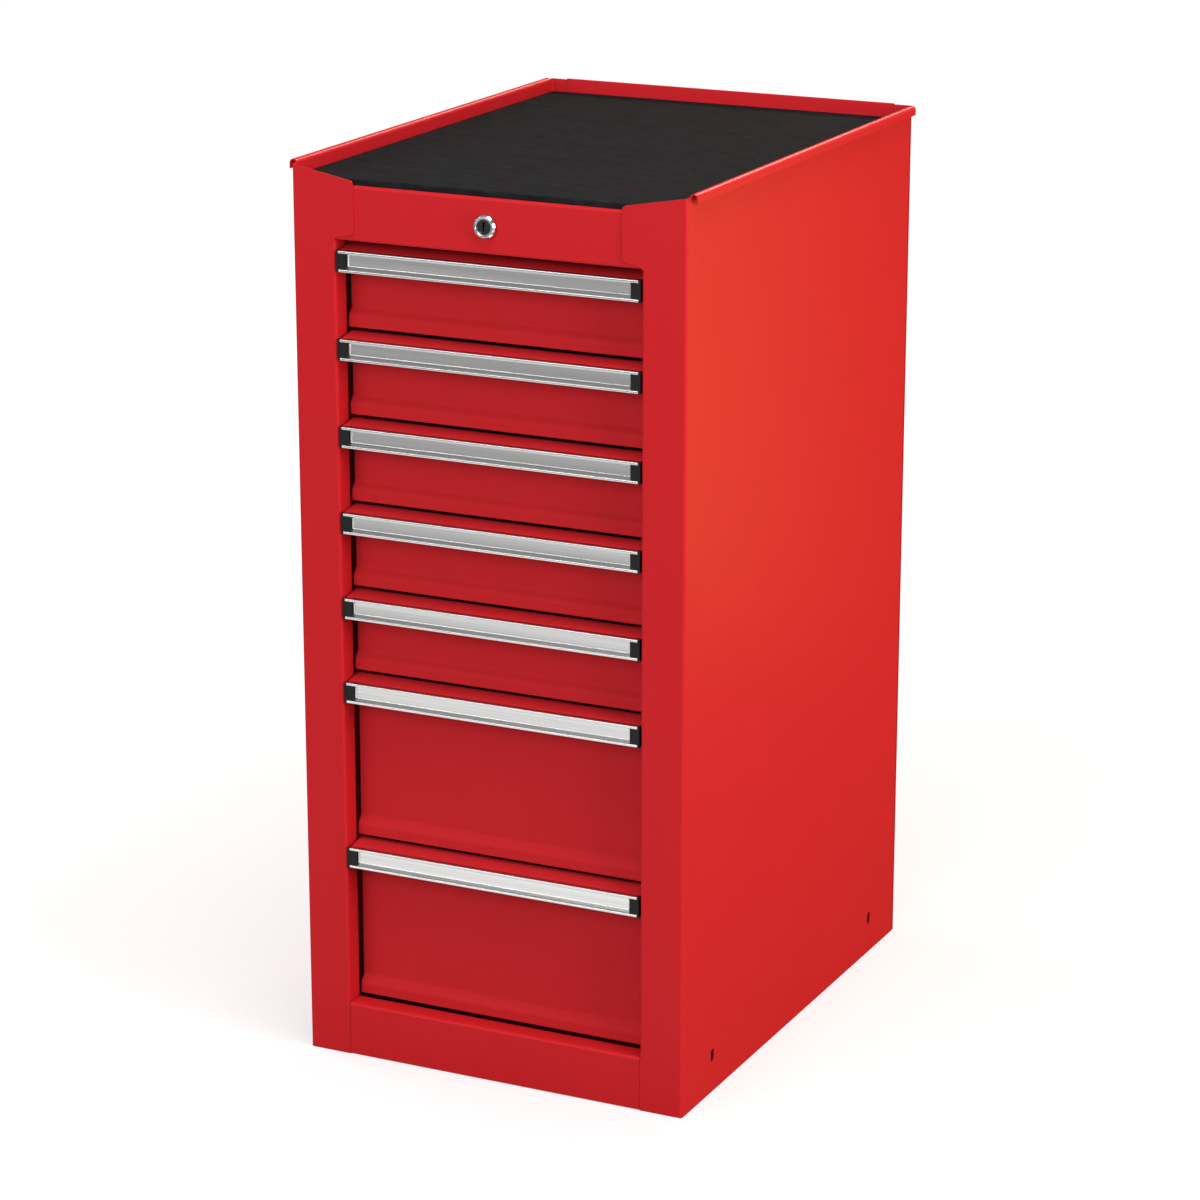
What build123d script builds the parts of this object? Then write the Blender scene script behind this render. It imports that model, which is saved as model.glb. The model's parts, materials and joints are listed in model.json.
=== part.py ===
from build123d import *
import os
from itertools import accumulate
from math import cos, radians, sin

# Tool chest side cabinet in millimetres. +Z is up, the drawers face -Y, and the origin lies on the
# floor under the middle of the case.

# Case
CASE_W = 364.0  # across the flat side panels
CASE_D = 490.0  # front of the stiles to the back of the back panel
SHEET = 1.2  # sheet of the case
BEND_R = 2.4  # outside radius of the case bends
STILE_W = 40.0  # front stile beside the drawer opening
STILE_RETURN = 18.0  # stile folded back along the drawer opening
BOTTOM_RAIL_H = 49.0  # floor to the drawer opening
HEADER_H = 61.5  # drawer opening to the tops of the stiles
REAR_FLANGE = 16.5  # side panel folded in along the back
SEAM = 0.3  # gap where two sheets meet edge to edge
OVERRUN = 5.0  # how far a cut runs past the sheet

# Drawer cells, from the top down
SHALLOW_PITCH = 76.0
SHALLOW_COUNT = 5
DEEP_PITCH = 152.0
DEEP_COUNT = 2
OPENING_SPARE = 3.0  # drawer opening below the lowest cell

# Stile tab over the lock rail, and the hems of the lips round the top
TAB_LAP = 18.0  # from the stile's inner edge
TAB_DROP = 10.5  # slope of the tab's top edge
TAB_CORNER_R = 4.0
TAB_RELIEF = 1.4  # foot of the tab above the drawer opening
TAB_FOOT_RISE = 4.5  # slope of the tab's lower edge
HEM_GAP = 4.8  # open inside of the rolled side hem
HEM_DIP = 0.7  # middle of the roll below the tops of the stiles
HEM_DROP = 4.8  # straight end of the side hem
HEM_START = 4.6  # side hem begins behind the stile's bend
HEM_END = 1.4  # side hem ends before the rear bend
CORNER_RISE = 2.0  # back corners above the tops of the stiles
BACK_LIP_RISE = 1.0  # back lip above its corners
BACK_HEM_H = 15.0

# Side slots for bolting to a neighbour
SLOT_L = 12.0
SLOT_W = 6.5
SLOT_INSET = 64.0  # from the front and from the back
SLOT_Z = 34.0

# Top panel, its lock rail and the mat
TOP_DROP = 14.2  # top panel below the tops of the stiles
RAIL_FLANGE = 18.0  # lock rail folded back over the drawer opening
TOP_REAR_LAP = 14.0  # top panel folded down along the back
MAT_T = 5.0
MAT_GAP = 1.5  # mat to the lips
MAT_EDGE_R = 1.0

# Bottom rail and bottom panel
RAIL_LIFT = 0.6  # bottom rail above the floor
RAIL_LAP = 15.0  # bottom rail's weld strip behind the stiles
RAIL_STRIP_INSET = 8.0  # weld strip below the rail's top edge
PAN_LIP = 25.0  # bottom panel folded up in front and behind
PAN_SEAT = 8.5  # bottom panel on the base flange of each side panel

# Rivets of the back panel
RIVET_R = 1.6
RIVET_HEAD_R = 3.5
RIVET_HEAD_H = 1.3
RIVET_DOME_SHARE = 0.8  # rounding of the head, of its height
RIVET_TAIL_R = 2.4
RIVET_TAIL_H = 2.0
RIVET_HOLE_GAP = 0.05
RIVET_ROWS = 5  # along each side
RIVET_END = 60.0  # first and last rivet from the floor and from the lip
BASE_RIVETS = 3  # along the bottom panel
BASE_RIVET_PITCH = 110.0

# Drawer fronts
DRAWER_SHEET = 1.0
DRAWER_BEND_R = 1.5  # outside radius of the drawer bends
FRONT_SIDE_GAP = 2.0  # drawer front to the stile's return
PANEL_INSET = 23.5  # face of the drawer front behind the stiles
FLANGE_DROP = 4.9  # top of the drawer front below its cell
FLANGE_SLOPE = 3.6  # fall of the top flange towards the pull
FRONT_GAP = 3.6  # drawer front above the next one, or above the bottom rail
JOG_D = 5.2  # foot of the drawer front stands forward
JOG_H = 6.0  # sloped part of that step
FOOT_H = 9.6  # straight part below it
FOOT_BEND_R = 6.0  # radius of the two soft bends of that step
NOSE_H = 14.0  # drawer front folded down behind the pull

# Pulls and their end caps
PULL_H = 18.5
PULL_D = 5.5
PULL_PROUD = 0.5  # pull in front of the stiles
PULL_LIP = 2.6
PULL_LIP_R = 0.8
POCKET_D = 3.4  # channel of the pull at mid height
POCKET_EDGE_D = 2.7  # channel of the pull beside its lips
CAP_T = 1.8  # end plate of a cap
CAP_PLUG_L = 7.0  # part of a cap inside the channel
CAP_RECESS = 0.4  # plug behind the front of the lips
CAP_FIT = 0.1
CAP_SIDE_GAP = 1.2  # cap to the stile's return

# Drawer trays and their rear catches
TRAY_DROP = 12.0  # top of the tray below its cell
TRAY_LIFT = 6.0  # bottom of the tray above the end of its cell
TRAY_CORNER_R = 2.5
RIM_H = 7.0  # hemmed rim of the tray
RIM_T = 1.1  # extra wall of the rim
CATCH_W = 16.0
CATCH_D = 16.0
CATCH_BAR_GAP = 5.5  # catch to the lock bar
CATCH_T = 1.6
CATCH_DROP = 8.0  # catch below the top of the tray

# Ball slides
SLIDE_T = 12.7  # tray side to post
SLIDE_SHORT = 13.0  # slide shorter than the tray
SLIDE_SHEET = 1.4
SLIDE_BEND_R = 2.0
SLIDE_RISE = 29.0  # middle of the slide above the bottom of the tray
CHANNEL_H = 34.0
CHANNEL_REACH = 9.7
CHANNEL_SETBACK = 4.0  # channel behind the drawer front
MEMBER_H = 24.0
MEMBER_REACH = 8.0
MEMBER_SIDE_GAP = 2.0  # drawer member to the stile's return
MEMBER_SETBACK = 1.0  # drawer member behind the drawer front
CAGE_L = 120.0
CAGE_SHEET = 0.8
CAGE_BEND_R = 1.2
CAGE_LEDGE = 0.8  # cage past the balls
BALL_RUN_GAP = 0.3  # ball to each race
BALL_CAGE_GAP = 0.05
BALL_COUNT = 6  # in one row

# Slide posts and the hooks of the channels
POST_W = 40.0
POST_FOOT = 12.0
FRONT_HOOK_INSET = 40.0  # front hook and post from the channel's front
REAR_HOOK_INSET = 12.0  # rear hook and post from the channel's end
POST_OVER = 15.0  # post above the drawer opening
HOOK_W = 6.0
HOOK_H = 5.0
HOOK_T = 1.4
HOOK_DROP = 4.0
HOOK_GAP = 0.3
HOOK_SIDE_GAP = 0.5

# Key lock in the lock rail
BEZEL_R = 10.5
BEZEL_FACE_R = 8.6
BEZEL_PROUD = 5.2
BEZEL_RECESS = 0.6  # plug behind the bezel's face
BARREL_R = 8.0
BARREL_L = 24.0  # behind the lock rail
BARREL_HOLE_GAP = 0.2
NUT_R = 12.5
NUT_H = 4.0
NUT_GAP = 0.05
PLUG_R = 6.4
PLUG_GAP = 0.05
PLUG_TAIL_R = 7.4
PLUG_TAIL_L = 3.0
PLUG_TAIL_GAP = 0.3
KEYWAY_W = 2.0
KEYWAY_H = 8.6
KEYWAY_D = 9.0

# Tail rod, crank and lock bar
LOCK_TURN = 90.0  # degrees from unlocked to locked
ROD_R = 3.0
ROD_GAP = 0.1
CRANK_R = 9.0  # rod to pin
CRANK_T = 3.0
CRANK_HUB_R = 5.5
CRANK_EYE_R = 3.6
PIN_R = 2.0
PIN_GAP = 0.5  # pin in the bar's slot, which turns a circle into a lift
PIN_PAST = 1.0  # pin past the bar
BAR_W = 20.0
BAR_T = 3.0
BAR_RUN_GAP = 0.3
BAR_CRANK_GAP = 1.0
BAR_HEAD_MARGIN = 4.0  # metal round the bar's slot
FINGER_W = 12.0
FINGER_T = 3.0
LATCH_GAP = 2.5  # finger below the catch when unlocked
LATCH_LASH = 2.0  # finger to catch when locked
GUIDE_BASE = 3.5  # guide behind the bar
GUIDE_WALL = 3.0
GUIDE_H = 14.0
BRACKET_W = 24.0
BRACKET_T = 2.0
BRACKET_FOOT = 16.0
BRACKET_INSET = 25.0  # bracket from the back of the case
BRACKET_BELOW = 9.0  # bracket below the rod

# Places worked out from the sizes
HALF_W = CASE_W / 2
FRONT = -CASE_D / 2
BACK = CASE_D / 2
STILE_IN = HALF_W - STILE_W
CELL_PITCHES = [SHALLOW_PITCH] * SHALLOW_COUNT + [DEEP_PITCH] * DEEP_COUNT
OPENING_BOTTOM = BOTTOM_RAIL_H
OPENING_TOP = OPENING_BOTTOM + OPENING_SPARE + sum(CELL_PITCHES)
CELL_TOPS = [OPENING_TOP - drop for drop in accumulate([0] + CELL_PITCHES[:-1])]
STILE_TOP = OPENING_TOP + HEADER_H
LIP_TOP = STILE_TOP + CORNER_RISE
BACK_LIP_TOP = LIP_TOP + BACK_LIP_RISE
TOP_Z = STILE_TOP - TOP_DROP
RAIL_FRONT = FRONT + SHEET
LOCK_Z = (OPENING_TOP + TOP_Z) / 2
BAR_BACK = BACK - SHEET - GUIDE_BASE - BAR_RUN_GAP
BAR_FRONT = BAR_BACK - BAR_T
PANEL_BACK = FRONT + PANEL_INSET + DRAWER_SHEET
TRAY_BACK = BAR_FRONT - CATCH_BAR_GAP - CATCH_D
TRAY_D = TRAY_BACK - PANEL_BACK
TRAY_HALF_W = STILE_IN - MEMBER_SIDE_GAP - MEMBER_REACH
SLIDE_L = TRAY_D - SLIDE_SHORT
CHANNEL_FRONT = PANEL_BACK + CHANNEL_SETBACK
TRAVEL = SLIDE_L - CAGE_L - (CHANNEL_SETBACK - MEMBER_SETBACK)
POST_X = TRAY_HALF_W + SLIDE_T
POST_YS = (CHANNEL_FRONT + FRONT_HOOK_INSET, CHANNEL_FRONT + SLIDE_L - REAR_HOOK_INSET)
HALF_TURN = radians(LOCK_TURN / 2)
BAR_LIFT = 2 * CRANK_R * sin(HALF_TURN)
PIN_X = -CRANK_R * cos(HALF_TURN)
PIN_Z = LOCK_Z - CRANK_R * sin(HALF_TURN)


def bent_section(plane, runs, thickness, side):
    """Return the section of a sheet bent along runs of points on one of its faces, each with its radius."""
    with BuildSketch(plane) as section:
        with BuildLine():
            for points, radius in runs:
                FilletPolyline(*points, radius=radius)
            offset(amount=thickness, side=side)
        make_face()
    return section.sketch


def sheet_section(plane, points, thickness, radius, side):
    """Return the section of a sheet bent along points on one of its faces with one radius."""
    return bent_section(plane, [(points, radius)], thickness, side)


def front_plane(y):
    """Return the plane across the case at a depth, seen from the front."""
    return Plane.XZ.offset(-y)


def block(x_span, y_span, z_span, mode=Mode.ADD):
    """Add a block between two ends along each axis."""
    middle = [sum(span) / 2 for span in (x_span, y_span, z_span)]
    with Locations(tuple(middle)):
        Box(*[abs(span[1] - span[0]) for span in (x_span, y_span, z_span)], mode=mode)


def disc(radius, y_span, x=0, z=0, mode=Mode.ADD):
    """Add a round bar along Y between two depths."""
    with Locations(Location((x, sum(y_span) / 2, z), (90, 0, 0))):
        Cylinder(radius, abs(y_span[1] - y_span[0]), mode=mode)


def save(piece, name):
    """Label a finished piece and write it."""
    piece.part.label = name
    export_step(piece.part, f"parts/{name}.step")


def side_rivet_heights():
    """Return the heights of the rivets along one side of the back panel."""
    step = (STILE_TOP - 2 * RIVET_END) / (RIVET_ROWS - 1)
    return [RIVET_END + step * row for row in range(RIVET_ROWS)]


def rivet_places():
    """Return the middle of every rivet of the back panel as x and z."""
    side_x = HALF_W - REAR_FLANGE / 2
    places = [(side * side_x, z) for side in (-1, 1) for z in side_rivet_heights()]
    first = -BASE_RIVET_PITCH * (BASE_RIVETS - 1) / 2
    return places + [(first + BASE_RIVET_PITCH * index, SHEET + PAN_LIP / 2) for index in range(BASE_RIVETS)]


def build_side_panels():
    """Build the two folded side panels with their stiles."""
    tab_low = OPENING_TOP + TAB_RELIEF
    tab_x = STILE_IN - TAB_LAP
    outside = [(HALF_W - REAR_FLANGE, BACK - SHEET), (HALF_W, BACK - SHEET), (HALF_W, FRONT)]
    bands = (
        (0, OPENING_BOTTOM, [(STILE_IN, FRONT)]),
        (OPENING_BOTTOM, OPENING_TOP, [(STILE_IN, FRONT), (STILE_IN, FRONT + STILE_RETURN)]),
        (OPENING_TOP, tab_low, [(STILE_IN, FRONT)]),
        (tab_low, STILE_TOP, [(tab_x, FRONT)]),
    )
    with BuildPart() as right:
        for low, high, stile in bands:
            section = sheet_section(Plane.XY.offset(low), outside + stile, SHEET, BEND_R, Side.RIGHT)
            extrude(section, amount=high - low)
        # Sloped top and foot of the tab
        with BuildSketch(front_plane(FRONT)):
            with BuildLine():
                Polyline((HALF_W, STILE_TOP), (tab_x, STILE_TOP), (tab_x, STILE_TOP - TAB_DROP), close=True)
            make_face()
            with BuildLine():
                Polyline((STILE_IN, tab_low), (tab_x, tab_low), (tab_x, tab_low + TAB_FOOT_RISE), close=True)
            make_face()
        extrude(amount=-BEND_R, mode=Mode.SUBTRACT)
        tab_corner = right.edges().filter_by(Axis.Y).sort_by_distance((tab_x, FRONT, STILE_TOP - TAB_DROP))
        fillet(tab_corner[0], radius=TAB_CORNER_R)
        # Rolled hem along the top, and the raised rear corner behind it
        hem_y = (FRONT + BEND_R + HEM_START, BACK - SHEET - BEND_R - HEM_END)
        hem_z = STILE_TOP - HEM_DIP
        block((HALF_W - SHEET, HALF_W), hem_y, (hem_z, STILE_TOP), mode=Mode.SUBTRACT)
        with BuildSketch(front_plane(hem_y[0])):
            with BuildLine():
                Line((HALF_W, hem_z - SHEET), (HALF_W, hem_z))
                roll = CenterArc((HALF_W + HEM_GAP / 2, hem_z), HEM_GAP / 2, 180, -180)
                Line(roll @ 1, (HALF_W + HEM_GAP, hem_z - HEM_DROP))
                offset(amount=SHEET, side=Side.LEFT)
            make_face()
        extrude(amount=hem_y[0] - hem_y[1])
        corner = outside[:2] + [(HALF_W, hem_y[1])]
        extrude(sheet_section(Plane.XY.offset(STILE_TOP), corner, SHEET, BEND_R, Side.RIGHT), amount=CORNER_RISE)
        # Base flange, bolt slots and rivet holes
        base_x = (HALF_W - REAR_FLANGE - SEAM - PAN_SEAT, HALF_W - SHEET)
        block(base_x, (FRONT + SHEET, BACK - 2 * SHEET), (0, SHEET))
        with BuildSketch(Plane.YZ.offset(HALF_W)):
            with Locations((FRONT + SLOT_INSET, SLOT_Z), (BACK - SLOT_INSET, SLOT_Z)):
                SlotOverall(SLOT_L, SLOT_W, rotation=90)
        extrude(amount=-SHEET, mode=Mode.SUBTRACT)
        with BuildSketch(front_plane(BACK)):
            with Locations(*[(HALF_W - REAR_FLANGE / 2, z) for z in side_rivet_heights()]):
                Circle(RIVET_R + RIVET_HOLE_GAP)
        extrude(amount=2 * SHEET, mode=Mode.SUBTRACT)
    with BuildPart() as left:
        mirror(right.part, about=Plane.YZ)
    save(right, "right_side_panel")
    save(left, "left_side_panel")


def build_back_panel():
    """Build the back panel with the hemmed lip behind the mat."""
    hem_half = HALF_W - REAR_FLANGE - SEAM
    with BuildPart() as back:
        block((-HALF_W, HALF_W), (BACK - SHEET, BACK), (0, LIP_TOP))
        block((-hem_half, hem_half), (BACK - SHEET, BACK), (LIP_TOP - SHEET, BACK_LIP_TOP))
        hem_z = (BACK_LIP_TOP - BACK_HEM_H, BACK_LIP_TOP)
        block((-hem_half, hem_half), (BACK - 2 * SHEET, BACK - SHEET), hem_z)
        lip_edges = back.edges().filter_by(Axis.X).group_by(Axis.Z)[-1]
        fillet(lip_edges, radius=SHEET / 2)
        with BuildSketch(front_plane(BACK)):
            with Locations(*rivet_places()):
                Circle(RIVET_R + RIVET_HOLE_GAP)
        extrude(amount=SHEET, mode=Mode.SUBTRACT)
    save(back, "back_panel")


def build_top():
    """Build the top panel with its lock rail, and the mat that lies on it."""
    path = [
        (RAIL_FRONT + RAIL_FLANGE, OPENING_TOP),
        (RAIL_FRONT, OPENING_TOP),
        (RAIL_FRONT, TOP_Z),
        (BACK - 2 * SHEET, TOP_Z),
        (BACK - 2 * SHEET, TOP_Z - TOP_REAR_LAP),
    ]
    with BuildPart() as top:
        extrude(sheet_section(Plane.YZ, path, SHEET, BEND_R, Side.RIGHT), amount=HALF_W - BEND_R, both=True)
        disc(BARREL_R + BARREL_HOLE_GAP, (RAIL_FRONT - OVERRUN, RAIL_FRONT + OVERRUN), z=LOCK_Z, mode=Mode.SUBTRACT)
    save(top, "top_panel")

    mat_half = HALF_W - SHEET - MAT_GAP
    with BuildPart() as mat:
        mat_depth = (RAIL_FRONT + BEND_R, BACK - 2 * SHEET - MAT_GAP)
        block((-mat_half, mat_half), mat_depth, (TOP_Z, TOP_Z + MAT_T))
        fillet(mat.faces().sort_by(Axis.Z)[-1].edges(), radius=MAT_EDGE_R)
    save(mat, "top_mat")


def build_base():
    """Build the bottom rail between the stiles and the bottom panel."""
    rail_path = [(FRONT, RAIL_LIFT), (FRONT, OPENING_BOTTOM), (FRONT + STILE_RETURN, OPENING_BOTTOM)]
    strip_half = STILE_IN + RAIL_LAP
    with BuildPart() as rail:
        extrude(sheet_section(Plane.YZ, rail_path, SHEET, BEND_R, Side.RIGHT), amount=STILE_IN - SEAM, both=True)
        strip_z = (SHEET + SEAM, OPENING_BOTTOM - RAIL_STRIP_INSET)
        block((-strip_half, strip_half), (FRONT + SHEET, FRONT + 2 * SHEET), strip_z)
    save(rail, "bottom_rail")

    front_y = FRONT + 2 * SHEET
    rear_y = BACK - SHEET
    pan_path = [(front_y, SHEET + PAN_LIP), (front_y, SHEET), (rear_y, SHEET), (rear_y, SHEET + PAN_LIP)]
    with BuildPart() as pan:
        pan_half = HALF_W - REAR_FLANGE - SEAM
        extrude(sheet_section(Plane.YZ, pan_path, SHEET, BEND_R, Side.LEFT), amount=pan_half, both=True)
        with BuildSketch(front_plane(BACK)):
            with Locations(*rivet_places()[-BASE_RIVETS:]):
                Circle(RIVET_R + RIVET_HOLE_GAP)
        extrude(amount=2 * SHEET + OVERRUN, mode=Mode.SUBTRACT)
    save(pan, "bottom_panel")


def build_rivets():
    """Build the rivets that hold the back panel, as one group of separate pieces."""
    with BuildPart() as rivet:
        grip = 2 * SHEET
        with Locations((0, 0, -grip / 2)):
            Cylinder(RIVET_R, grip)
        with Locations((0, 0, RIVET_HEAD_H / 2)):
            Cylinder(RIVET_HEAD_R, RIVET_HEAD_H)
        fillet(rivet.edges().sort_by(Axis.Z)[-1], radius=RIVET_HEAD_H * RIVET_DOME_SHARE)
        with Locations((0, 0, -grip - RIVET_TAIL_H / 2)):
            Cylinder(RIVET_TAIL_R, RIVET_TAIL_H)
    with BuildPart() as rivets:
        with Locations(*[Location((x, BACK, z), (-90, 0, 0)) for x, z in rivet_places()]):
            add(rivet.part)
    save(rivets, "back_panel_rivets")


def slide_height(index):
    """Return the height of the middle of one drawer's slides."""
    return CELL_TOPS[index] - CELL_PITCHES[index] + TRAY_LIFT + SLIDE_RISE


def build_posts():
    """Build the slotted posts that carry the slides."""
    wall = HALF_W - SHEET
    with BuildPart() as right:
        for y in POST_YS:
            near, far = y - POST_W / 2, y + POST_W / 2
            path = [(wall, near - POST_FOOT), (wall, near), (POST_X + SHEET, near)]
            path += [(POST_X + SHEET, far), (wall, far), (wall, far + POST_FOOT)]
            section = sheet_section(Plane.XY.offset(OPENING_BOTTOM), path, SHEET, BEND_R, Side.LEFT)
            extrude(section, amount=OPENING_TOP + POST_OVER - OPENING_BOTTOM)
            for index in range(len(CELL_PITCHES)):
                foot = slide_height(index) - HOOK_H / 2
                slot_half = HOOK_W / 2 + HOOK_SIDE_GAP
                slot_z = (foot, foot + HOOK_H + HOOK_DROP + HOOK_GAP)
                slot_x = (POST_X - OVERRUN, POST_X + OVERRUN)
                block(slot_x, (y - slot_half, y + slot_half), slot_z, mode=Mode.SUBTRACT)
    with BuildPart() as left:
        mirror(right.part, about=Plane.YZ)
    save(right, "right_slide_posts")
    save(left, "left_slide_posts")


def build_channels():
    """Build the slide channels hooked into the posts, two for each drawer."""
    reach = POST_X - CHANNEL_REACH
    hook_back = POST_X + SHEET + HOOK_GAP
    with BuildPart() as channels:
        for index in range(len(CELL_PITCHES)):
            z = slide_height(index)
            low, high = z - CHANNEL_H / 2, z + CHANNEL_H / 2
            path = [(reach, high), (POST_X, high), (POST_X, low), (reach, low)]
            section = sheet_section(front_plane(CHANNEL_FRONT), path, SLIDE_SHEET, SLIDE_BEND_R, Side.RIGHT)
            extrude(section, amount=-SLIDE_L)
            hook_low = z - HOOK_H / 2
            for y in POST_YS:
                hook_y = (y - HOOK_W / 2, y + HOOK_W / 2)
                block((POST_X - SLIDE_SHEET, hook_back + HOOK_T), hook_y, (hook_low, hook_low + HOOK_H))
                block((hook_back, hook_back + HOOK_T), hook_y, (hook_low - HOOK_DROP, hook_low))
        mirror(about=Plane.YZ)
    save(channels, "cabinet_slide_channels")


def build_drawer_front(index):
    """Build one drawer front: top flange, nose behind the pull, panel and stepped foot."""
    top = CELL_TOPS[index] - FLANGE_DROP
    lower_tops = [cell_top - FLANGE_DROP for cell_top in CELL_TOPS[1:]] + [OPENING_BOTTOM]
    bottom = lower_tops[index] + FRONT_GAP
    nose_y = FRONT - PULL_PROUD + PULL_D
    nose_top = top - FLANGE_SLOPE
    middle = (PANEL_BACK, (top + bottom) / 2)
    upper = [(nose_y, nose_top - NOSE_H), (nose_y, nose_top), (PANEL_BACK, top), middle]
    lower = [
        middle,
        (PANEL_BACK, bottom + FOOT_H + JOG_H),
        (PANEL_BACK - JOG_D, bottom + FOOT_H),
        (PANEL_BACK - JOG_D, bottom),
    ]
    with BuildPart() as front:
        runs = [(upper, DRAWER_BEND_R), (lower, FOOT_BEND_R)]
        section = bent_section(Plane.YZ, runs, DRAWER_SHEET, Side.RIGHT)
        extrude(section, amount=STILE_IN - FRONT_SIDE_GAP, both=True)
    save(front, f"drawer_{index + 1}_front")


def pocket_section(plane, low, high, front, fit):
    """Return the section of the pull's channel, drawn in by a fit."""
    y_edge = FRONT - PULL_PROUD + POCKET_EDGE_D - fit
    y_deep = FRONT - PULL_PROUD + POCKET_D - fit
    z_low, z_high = low + PULL_LIP + fit, high - PULL_LIP - fit
    with BuildSketch(plane) as section:
        with BuildLine():
            Polyline((y_edge, z_low), (front, z_low), (front, z_high), (y_edge, z_high))
            ThreePointArc((y_edge, z_high), (y_deep, (low + high) / 2), (y_edge, z_low))
        make_face()
    return section.sketch


def pull_outline(plane, low, high):
    """Return the outline of the pull without its channel."""
    y_front = FRONT - PULL_PROUD
    with BuildSketch(plane) as outline:
        with Locations((y_front + PULL_D / 2, (low + high) / 2)):
            Rectangle(PULL_D, high - low)
        fillet(outline.vertices().sort_by(Axis.X)[:2], radius=PULL_LIP_R)
    return outline.sketch


def build_pull(index):
    """Build one aluminium pull and the two caps that close its ends."""
    high = CELL_TOPS[index] - FLANGE_DROP - FLANGE_SLOPE
    low = high - PULL_H
    y_front = FRONT - PULL_PROUD
    pull_half = STILE_IN - CAP_SIDE_GAP - CAP_T
    with BuildPart() as pull:
        extrude(pull_outline(Plane.YZ, low, high), amount=pull_half, both=True)
        channel = pocket_section(Plane.YZ, low, high, y_front - OVERRUN, 0)
        extrude(channel, amount=pull_half, both=True, mode=Mode.SUBTRACT)
    save(pull, f"drawer_{index + 1}_pull")

    with BuildPart() as caps:
        extrude(pull_outline(Plane.YZ.offset(pull_half), low, high), amount=CAP_T)
        plug = pocket_section(Plane.YZ.offset(pull_half), low, high, y_front + CAP_RECESS, CAP_FIT)
        extrude(plug, amount=-CAP_PLUG_L)
        mirror(about=Plane.YZ)
    save(caps, f"drawer_{index + 1}_pull_caps")


def catch_height(index):
    """Return the height of the top of one drawer's rear catch."""
    return CELL_TOPS[index] - TRAY_DROP - CATCH_DROP


def build_tray(index):
    """Build one drawer tray with its hemmed rim and the catch for the lock bar."""
    low = CELL_TOPS[index] - CELL_PITCHES[index] + TRAY_LIFT
    height = CELL_TOPS[index] - TRAY_DROP - low
    middle = (0, PANEL_BACK + TRAY_D / 2)
    inside = (2 * (TRAY_HALF_W - DRAWER_SHEET), TRAY_D - 2 * DRAWER_SHEET)
    catch = catch_height(index)
    catch_half = CATCH_W / 2
    catch_end = TRAY_BACK + CATCH_D
    with BuildPart() as tray:
        with BuildSketch(Plane.XY.offset(low)):
            with Locations(middle):
                RectangleRounded(2 * TRAY_HALF_W, TRAY_D, TRAY_CORNER_R)
        extrude(amount=height)
        with BuildSketch(Plane.XY.offset(low + DRAWER_SHEET)):
            with Locations(middle):
                RectangleRounded(*inside, TRAY_CORNER_R - DRAWER_SHEET)
        extrude(amount=height - DRAWER_SHEET - RIM_H, mode=Mode.SUBTRACT)
        with BuildSketch(Plane.XY.offset(low + height)):
            with Locations(middle):
                Rectangle(*[side - 2 * RIM_T for side in inside])
        extrude(amount=-RIM_H, mode=Mode.SUBTRACT)
        block((-catch_half, catch_half), (TRAY_BACK - DRAWER_SHEET, catch_end), (catch - CATCH_T, catch))
        lip_z = (catch - CATCH_T - BAR_LIFT, catch)
        block((-catch_half, catch_half), (catch_end - CATCH_T, catch_end), lip_z)
    save(tray, f"drawer_{index + 1}_tray")


def build_members(index):
    """Build the two slide members fixed to the sides of one tray."""
    z = slide_height(index)
    low, high = z - MEMBER_H / 2, z + MEMBER_H / 2
    reach = TRAY_HALF_W + MEMBER_REACH
    path = [(reach, high), (TRAY_HALF_W, high), (TRAY_HALF_W, low), (reach, low)]
    with BuildPart() as members:
        section = sheet_section(front_plane(PANEL_BACK + MEMBER_SETBACK), path, SLIDE_SHEET, SLIDE_BEND_R, Side.LEFT)
        extrude(section, amount=-SLIDE_L)
        mirror(about=Plane.YZ)
    save(members, f"drawer_{index + 1}_slide_members")


def build_cages(index):
    """Build the two ball cages of one drawer with their balls."""
    z = slide_height(index)
    race_gap = CHANNEL_H / 2 - SLIDE_SHEET - MEMBER_H / 2
    ball_r = race_gap / 2 - BALL_RUN_GAP
    ball_z = MEMBER_H / 2 + race_gap / 2
    member_tip = TRAY_HALF_W + MEMBER_REACH
    ball_x = (POST_X - CHANNEL_REACH + member_tip) / 2
    web_out = (member_tip + POST_X - SLIDE_SHEET + CAGE_SHEET) / 2
    reach = ball_x - ball_r - CAGE_LEDGE
    low, high = z - ball_z - CAGE_SHEET / 2, z + ball_z + CAGE_SHEET / 2
    path = [(reach, high), (web_out, high), (web_out, low), (reach, low)]
    cage_front = CHANNEL_FRONT + TRAVEL / 2
    pitch = CAGE_L / BALL_COUNT
    rows = [cage_front + pitch / 2 + pitch * row for row in range(BALL_COUNT)]
    with BuildPart() as cages:
        section = sheet_section(front_plane(cage_front), path, CAGE_SHEET, CAGE_BEND_R, Side.RIGHT)
        extrude(section, amount=-CAGE_L)
        with Locations(*[(ball_x, y, z) for y in rows]):
            Cylinder(ball_r + BALL_CAGE_GAP, CHANNEL_H, mode=Mode.SUBTRACT)
        with Locations(*[(ball_x, y, z + side * ball_z) for y in rows for side in (-1, 1)]):
            Sphere(ball_r)
        mirror(about=Plane.YZ)
    save(cages, f"drawer_{index + 1}_ball_cages")


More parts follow.
